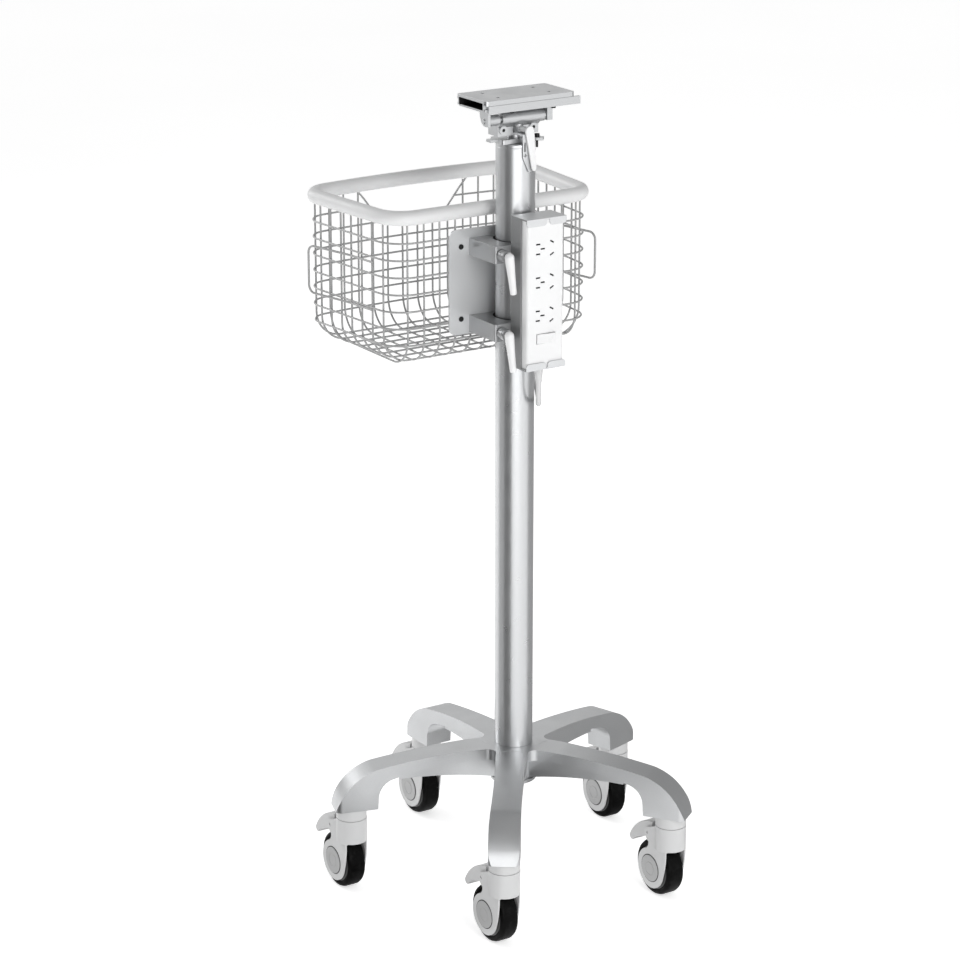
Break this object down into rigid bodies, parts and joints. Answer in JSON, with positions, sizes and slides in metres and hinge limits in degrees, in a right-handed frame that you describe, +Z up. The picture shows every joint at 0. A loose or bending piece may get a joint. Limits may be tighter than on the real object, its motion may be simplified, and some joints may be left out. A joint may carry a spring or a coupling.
{
  "type": "roll stand for a patient monitor",
  "caption": "Wheeled roll stand with a silver star base, round pole, wire basket, clamped power strip and a tilting slide-on monitor plate.",
  "frame": {"origin": "on the floor, under the pole's axis", "axes": "+Z up along the pole, +X along the mounting plate's long side, +Y from the pole towards the basket"},
  "size_m": [0.4736, 0.5012, 1.054],
  "materials": {
    "star_silver": "satin silver paint on a casting",
    "pole_silver": "satin anodised",
    "steel": "zinc plated",
    "screw_black": "black oxide",
    "head_silver": "satin silver",
    "lever_white": "light grey moulded",
    "clamp_silver": "satin",
    "liner_black": "black acetal",
    "sheet_silver": "silver powder coat",
    "wire_white": "light grey dipped coat",
    "rim_white": "light grey soft plastic tube",
    "strip_white": "white moulded",
    "contact_dark": "dull",
    "rocker_white": "white moulded",
    "cord_grey": "light grey sheath",
    "tie_black": "woven hook-and-loop strap",
    "plug_grey": "light grey moulded",
    "caster_white": "light grey moulded nylon",
    "wheel_grey": "grey moulded",
    "tyre_black": "black"
  },
  "bodies": {
    "stand": {"base_star": "star_silver", "hub_bolt": "steel", "pole": "pole_silver", "pole_foot_plug": "pole_silver", "pole_top_plug": "pole_silver", "caster_stems": "caster_white"},
    "head": {"swivel_flange": "head_silver", "yoke": "head_silver", "yoke_screws": "screw_black", "latch_strap": "head_silver"},
    "lock_lever": {"lock_lever": "lever_white"},
    "thumbscrew": {"swivel_thumbscrew": "screw_black"},
    "tilt": {"tilt_pin": "head_silver", "mount_rail": "head_silver", "rail_screws": "screw_black"},
    "adapter": {"adapter_plate": "head_silver"},
    "liners": {"clamp_liners": "liner_black"},
    "carriage": {"clamp_blocks": "clamp_silver", "clamp_jaws": "clamp_silver", "basket_plate": "sheet_silver", "plate_screws": "screw_black", "basket_mesh": "wire_white", "basket_rim": "rim_white", "basket_hooks": "wire_white", "strip_bracket": "sheet_silver", "strip_case": "strip_white", "outlet_contacts": "contact_dark", "strain_relief": "cord_grey", "cord_lead": "cord_grey", "cord_hank": "cord_grey", "cord_tie": "tie_black", "mains_plug": "plug_grey"},
    "clamp_lever_upper": {"lever_upper": "lever_white"},
    "clamp_lever_lower": {"lever_lower": "lever_white"},
    "rocker": {"rocker_switch": "rocker_white"},
    "caster_1": {"caster_1_fork": "caster_white", "caster_1_axle": "caster_white"},
    "wheel_1": {"caster_1_wheel": "wheel_grey", "caster_1_tyre": "tyre_black"},
    "pedal_1": {"caster_1_pedal": "caster_white"},
    "caster_2": {"caster_2_fork": "caster_white", "caster_2_axle": "caster_white"},
    "wheel_2": {"caster_2_wheel": "wheel_grey", "caster_2_tyre": "tyre_black"},
    "pedal_2": {"caster_2_pedal": "caster_white"},
    "caster_3": {"caster_3_fork": "caster_white", "caster_3_axle": "caster_white"},
    "wheel_3": {"caster_3_wheel": "wheel_grey", "caster_3_tyre": "tyre_black"},
    "pedal_3": {"caster_3_pedal": "caster_white"},
    "caster_4": {"caster_4_fork": "caster_white", "caster_4_axle": "caster_white"},
    "wheel_4": {"caster_4_wheel": "wheel_grey", "caster_4_tyre": "tyre_black"},
    "pedal_4": {"caster_4_pedal": "caster_white"},
    "caster_5": {"caster_5_fork": "caster_white", "caster_5_axle": "caster_white"},
    "wheel_5": {"caster_5_wheel": "wheel_grey", "caster_5_tyre": "tyre_black"},
    "pedal_5": {"caster_5_pedal": "caster_white"}
  },
  "joints": [
    {"name": "head_swivel", "type": "hinge", "parent": "stand", "child": "head", "pos_m": [0, 0, 0.995], "axis": [0, 0, 1], "range_deg": [-170, 170]},
    {"name": "head_tilt", "type": "hinge", "parent": "head", "child": "tilt", "pos_m": [0, -0.015, 1.026], "axis": [1, 0, 0], "range_deg": [-15, 15]},
    {"name": "plate_slide", "type": "slide", "parent": "tilt", "child": "adapter", "axis": [-1, 0, 0], "range_m": [0, 0.12]},
    {"name": "lock_lever_turn", "type": "hinge", "parent": "head", "child": "lock_lever", "pos_m": [0.0015, -0.0295, 1.0105], "axis": [0, -1, 0], "range_deg": [0, 90]},
    {"name": "thumbscrew_turn", "type": "hinge", "parent": "head", "child": "thumbscrew", "pos_m": [0.0206, -0.0173, 1], "axis": [0, 0, 1], "continuous": true},
    {"name": "height_slide", "type": "slide", "parent": "stand", "child": "liners", "axis": [0, 0, 1], "range_m": [-0.33, 0.03]},
    {"name": "carriage_swivel", "type": "hinge", "parent": "liners", "child": "carriage", "pos_m": [0, 0, 0.81], "axis": [0, 0, 1], "range_deg": [-180, 180]},
    {"name": "upper_clamp_turn", "type": "hinge", "parent": "carriage", "child": "clamp_lever_upper", "pos_m": [-0.041, -0.038, 0.8592], "axis": [0, 1, 0], "range_deg": [0, 150]},
    {"name": "lower_clamp_turn", "type": "hinge", "parent": "carriage", "child": "clamp_lever_lower", "pos_m": [-0.041, -0.038, 0.7592], "axis": [0, 1, 0], "range_deg": [0, 150]},
    {"name": "rocker_press", "type": "hinge", "parent": "carriage", "child": "rocker", "pos_m": [0.003, -0.063, 0.754], "axis": [0, 0, 1], "range_deg": [0, 12]},
    {"name": "caster_1_swivel", "type": "hinge", "parent": "stand", "child": "caster_1", "pos_m": [0, 0.22, 0.1], "axis": [0, 0, 1], "continuous": true},
    {"name": "wheel_1_spin", "type": "hinge", "parent": "caster_1", "child": "wheel_1", "pos_m": [0, 0.241, 0.0375], "axis": [1, 0, 0], "continuous": true},
    {"name": "pedal_1_press", "type": "hinge", "parent": "caster_1", "child": "pedal_1", "pos_m": [0, 0.249, 0.086], "axis": [-1, 0, 0], "range_deg": [0, 10]},
    {"name": "caster_2_swivel", "type": "hinge", "parent": "stand", "child": "caster_2", "pos_m": [-0.20923, 0.06798, 0.1], "axis": [0, 0, 1], "continuous": true},
    {"name": "wheel_2_spin", "type": "hinge", "parent": "caster_2", "child": "wheel_2", "pos_m": [-0.20923, 0.08898, 0.0375], "axis": [1, 0, 0], "continuous": true},
    {"name": "pedal_2_press", "type": "hinge", "parent": "caster_2", "child": "pedal_2", "pos_m": [-0.20923, 0.09698, 0.086], "axis": [-1, 0, 0], "range_deg": [0, 10]},
    {"name": "caster_3_swivel", "type": "hinge", "parent": "stand", "child": "caster_3", "pos_m": [-0.12931, -0.17798, 0.1], "axis": [0, 0, 1], "continuous": true},
    {"name": "wheel_3_spin", "type": "hinge", "parent": "caster_3", "child": "wheel_3", "pos_m": [-0.12931, -0.15698, 0.0375], "axis": [1, 0, 0], "continuous": true},
    {"name": "pedal_3_press", "type": "hinge", "parent": "caster_3", "child": "pedal_3", "pos_m": [-0.12931, -0.14898, 0.086], "axis": [-1, 0, 0], "range_deg": [0, 10]},
    {"name": "caster_4_swivel", "type": "hinge", "parent": "stand", "child": "caster_4", "pos_m": [0.12931, -0.17798, 0.1], "axis": [0, 0, 1], "continuous": true},
    {"name": "wheel_4_spin", "type": "hinge", "parent": "caster_4", "child": "wheel_4", "pos_m": [0.12931, -0.15698, 0.0375], "axis": [1, 0, 0], "continuous": true},
    {"name": "pedal_4_press", "type": "hinge", "parent": "caster_4", "child": "pedal_4", "pos_m": [0.12931, -0.14898, 0.086], "axis": [-1, 0, 0], "range_deg": [0, 10]},
    {"name": "caster_5_swivel", "type": "hinge", "parent": "stand", "child": "caster_5", "pos_m": [0.20923, 0.06798, 0.1], "axis": [0, 0, 1], "continuous": true},
    {"name": "wheel_5_spin", "type": "hinge", "parent": "caster_5", "child": "wheel_5", "pos_m": [0.20923, 0.08898, 0.0375], "axis": [1, 0, 0], "continuous": true},
    {"name": "pedal_5_press", "type": "hinge", "parent": "caster_5", "child": "pedal_5", "pos_m": [0.20923, 0.09698, 0.086], "axis": [-1, 0, 0], "range_deg": [0, 10]}
  ]
}
